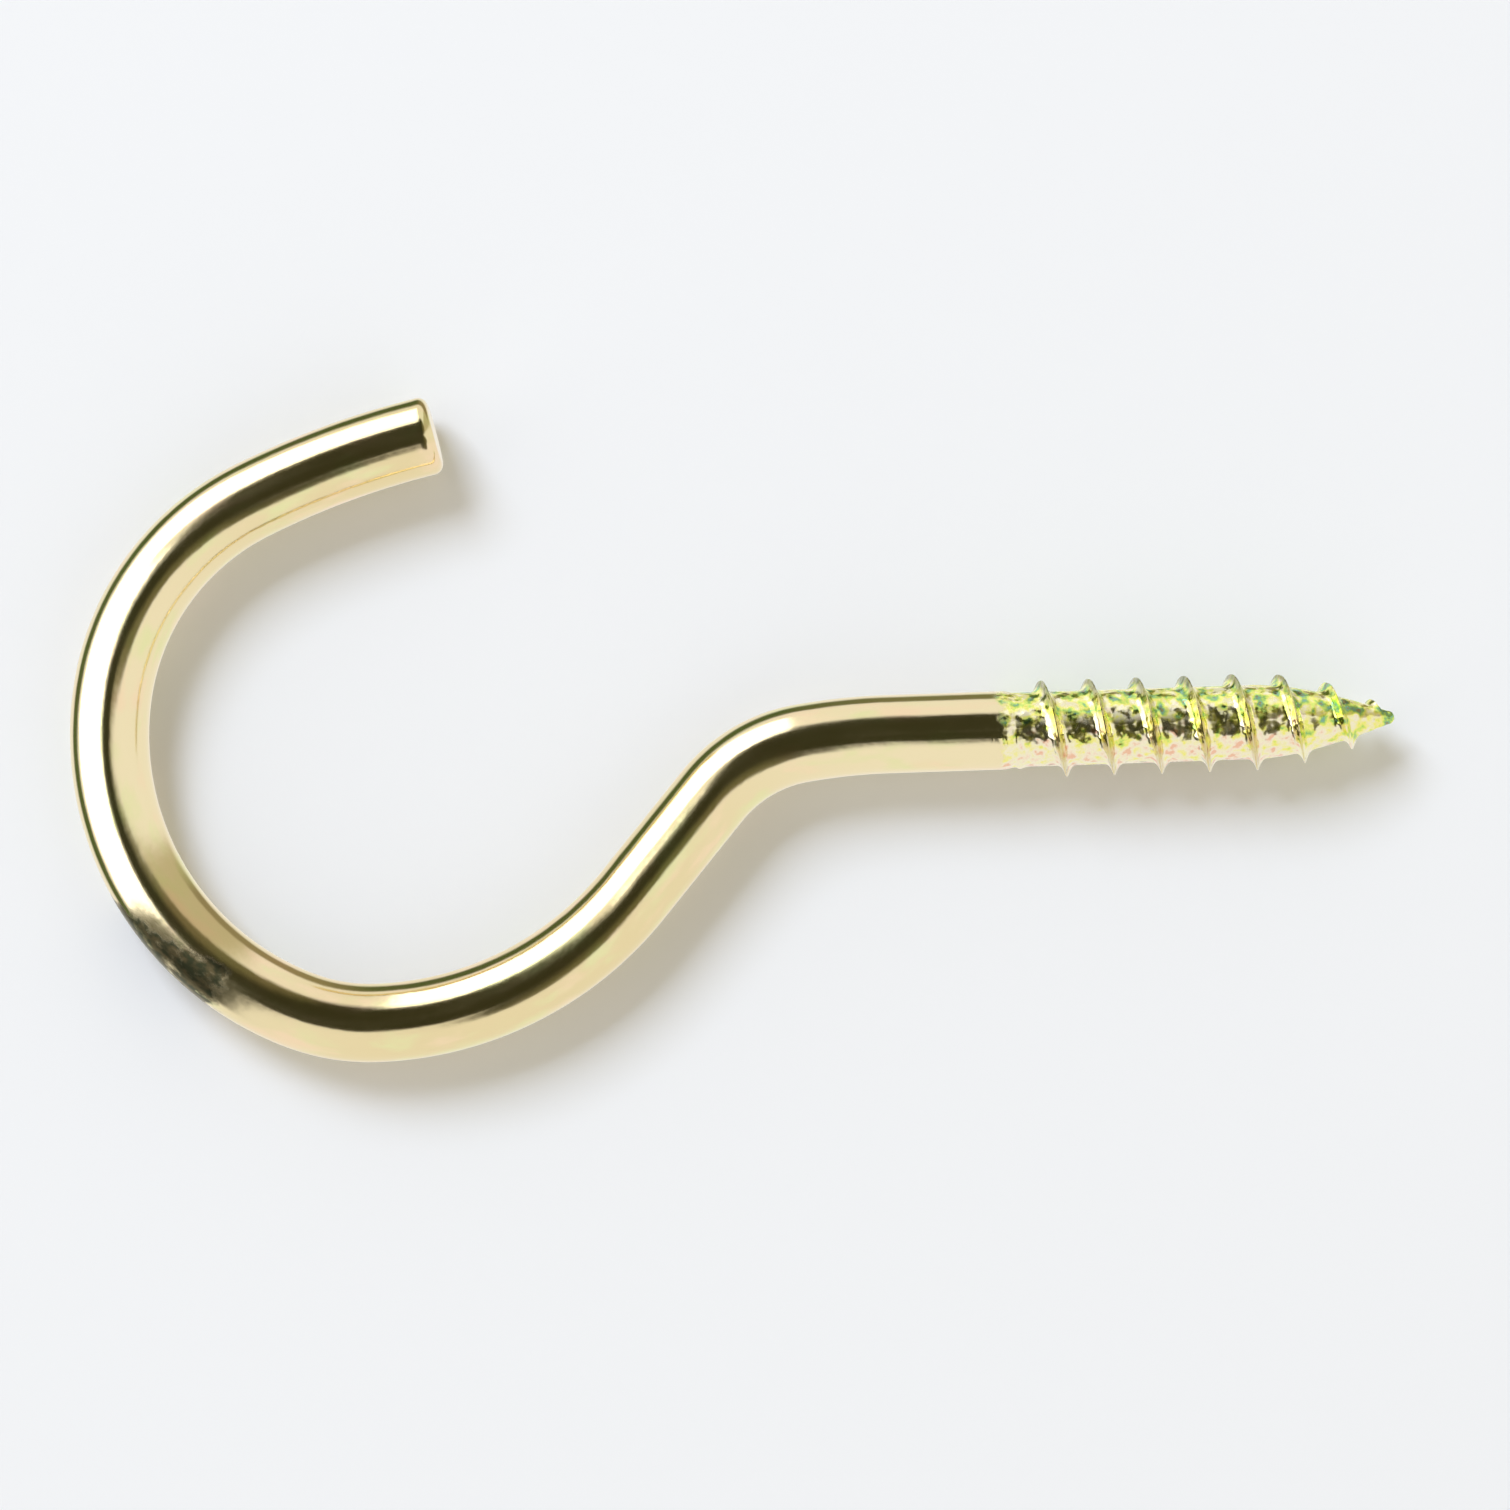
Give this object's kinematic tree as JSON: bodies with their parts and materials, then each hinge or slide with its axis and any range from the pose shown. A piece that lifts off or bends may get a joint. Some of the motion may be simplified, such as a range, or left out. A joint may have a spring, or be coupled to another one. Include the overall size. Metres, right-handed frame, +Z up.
{
  "type": "cup hook",
  "caption": "Screw-in hook of one bent round wire: open bowl, S-bend neck, plain shank and a pointed wood-screw thread, for hanging light things.",
  "frame": {"origin": "on the screw axis where the thread starts, at the end of the plain shank", "axes": "+X along the screw axis towards the point; the hook is flat in the XY plane with its open end on the +Y side; +Z up as it lies"},
  "size_m": [0.0675, 0.0337, 0.005],
  "materials": {
    "plated_steel": "bright pale brass plate with a yellow passivate, scuffed where the bending tool bore"
  },
  "bodies": {
    "root": {"hook": "plated_steel"}
  },
  "joints": []
}
